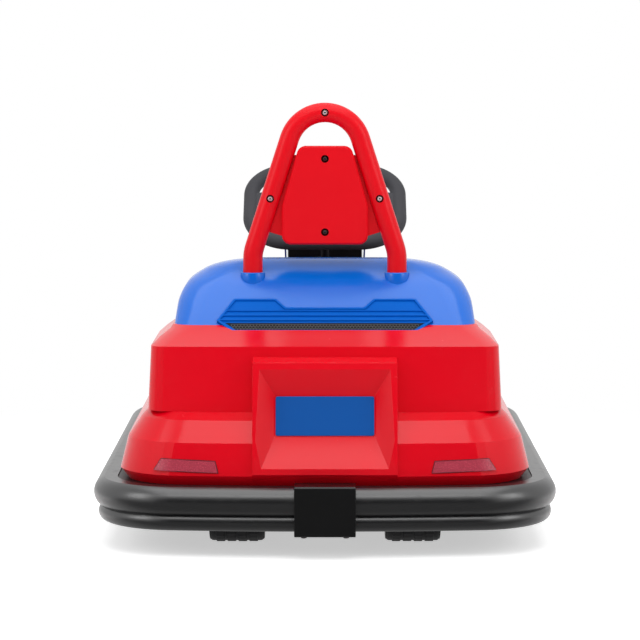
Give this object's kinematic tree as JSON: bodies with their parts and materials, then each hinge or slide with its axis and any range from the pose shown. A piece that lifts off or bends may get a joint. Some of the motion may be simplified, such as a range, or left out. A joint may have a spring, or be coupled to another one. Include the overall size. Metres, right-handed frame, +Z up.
{
  "type": "ride-on electric bumper go-kart",
  "caption": "Child's electric ride-on kart with a moulded red and blue body, a soft bumper ring, a seat hoop and steered front wheels.",
  "frame": {"origin": "on the ground below the middle of the bumper ring", "axes": "+X to the driver's right, +Y forwards, +Z up"},
  "size_m": [0.6966, 1.0592, 0.6642],
  "materials": {
    "red_plastic": "high gloss moulded shell",
    "blue_plastic": "gloss moulded shell",
    "black_plastic": "fine grained moulding",
    "bumper_foam": "satin soft bumper",
    "zinc_steel": "zinc plated",
    "wheel_plastic": "blow-moulded wheel",
    "plate_blue": "blank blue plate",
    "reflector_red": "textured reflector",
    "seat_leather": "grained leatherette",
    "grip_black": "grained grip",
    "clear_screen": "clear, faintly blue"
  },
  "bodies": {
    "chassis": {"chassis_pan": "black_plastic", "bumper_left": "bumper_foam", "bumper_right": "bumper_foam", "bumper_clip_rear": "black_plastic", "bumper_clip_front": "black_plastic", "body_skirt": "red_plastic", "tail_body": "red_plastic", "tail_deck": "blue_plastic", "plate_pod": "red_plastic", "tail_plate": "plate_blue", "vent_panel": "blue_plastic", "vent_mesh": "black_plastic", "nose_grille": "black_plastic", "headlight_left": "clear_screen", "headlight_right": "clear_screen", "reflector_left": "reflector_red", "reflector_right": "reflector_red", "seat_hoop": "red_plastic", "backrest_cover": "red_plastic", "backrest_pad": "seat_leather", "cockpit_liner": "black_plastic", "seat_cushion": "seat_leather", "seat_back_pad": "seat_leather", "nose_body": "red_plastic", "hood": "blue_plastic", "dash_console": "black_plastic", "windscreen": "clear_screen", "foot_pedal": "black_plastic", "battery_box": "black_plastic", "gearbox_left": "black_plastic", "gearbox_right": "black_plastic", "rear_axle": "zinc_steel", "front_axle_beam": "zinc_steel"},
    "steering": {"steering_wheel": "grip_black", "steering_hub_cap": "blue_plastic", "steering_column": "zinc_steel"},
    "knuckle_left": {"knuckle_left": "zinc_steel"},
    "knuckle_right": {"knuckle_right": "zinc_steel"},
    "tie_rod": {"tie_rod": "zinc_steel"},
    "rear_wheel_left": {"rear_wheel_left": "wheel_plastic"},
    "rear_wheel_right": {"rear_wheel_right": "wheel_plastic"},
    "front_wheel_left": {"front_wheel_left": "wheel_plastic"},
    "front_wheel_right": {"front_wheel_right": "wheel_plastic"}
  },
  "joints": [
    {"name": "steering_turn", "type": "hinge", "parent": "chassis", "child": "steering", "pos_m": [0, 0.31712, 0.07716], "axis": [0, -0.5878, 0.809], "range_deg": [-35, 35]},
    {"name": "knuckle_left_turn", "type": "hinge", "parent": "chassis", "child": "knuckle_left", "pos_m": [-0.11, 0.34, 0.06], "axis": [0, 0, 1], "range_deg": [-24.5, 24.5]},
    {"name": "knuckle_right_turn", "type": "hinge", "parent": "chassis", "child": "knuckle_right", "pos_m": [0.11, 0.34, 0.06], "axis": [0, 0, 1], "range_deg": [-24.5, 24.5]},
    {"name": "tie_rod_turn", "type": "hinge", "parent": "knuckle_left", "child": "tie_rod", "pos_m": [-0.11, 0.288, 0.056], "axis": [0, 0, 1], "range_deg": [-24.5, 24.5]},
    {"name": "rear_wheel_left_spin", "type": "hinge", "parent": "chassis", "child": "rear_wheel_left", "pos_m": [-0.133, -0.35, 0.075], "axis": [1, 0, 0], "continuous": true},
    {"name": "rear_wheel_right_spin", "type": "hinge", "parent": "chassis", "child": "rear_wheel_right", "pos_m": [0.133, -0.35, 0.075], "axis": [1, 0, 0], "continuous": true},
    {"name": "front_wheel_left_spin", "type": "hinge", "parent": "knuckle_left", "child": "front_wheel_left", "pos_m": [-0.152, 0.34, 0.06], "axis": [1, 0, 0], "continuous": true},
    {"name": "front_wheel_right_spin", "type": "hinge", "parent": "knuckle_right", "child": "front_wheel_right", "pos_m": [0.152, 0.34, 0.06], "axis": [1, 0, 0], "continuous": true}
  ],
  "couplings": [
    {"joint": "knuckle_left_turn", "follows": "steering_turn", "ratio": 0.6923},
    {"joint": "knuckle_right_turn", "follows": "steering_turn", "ratio": 0.6923},
    {"joint": "tie_rod_turn", "follows": "steering_turn", "ratio": -0.6923}
  ]
}
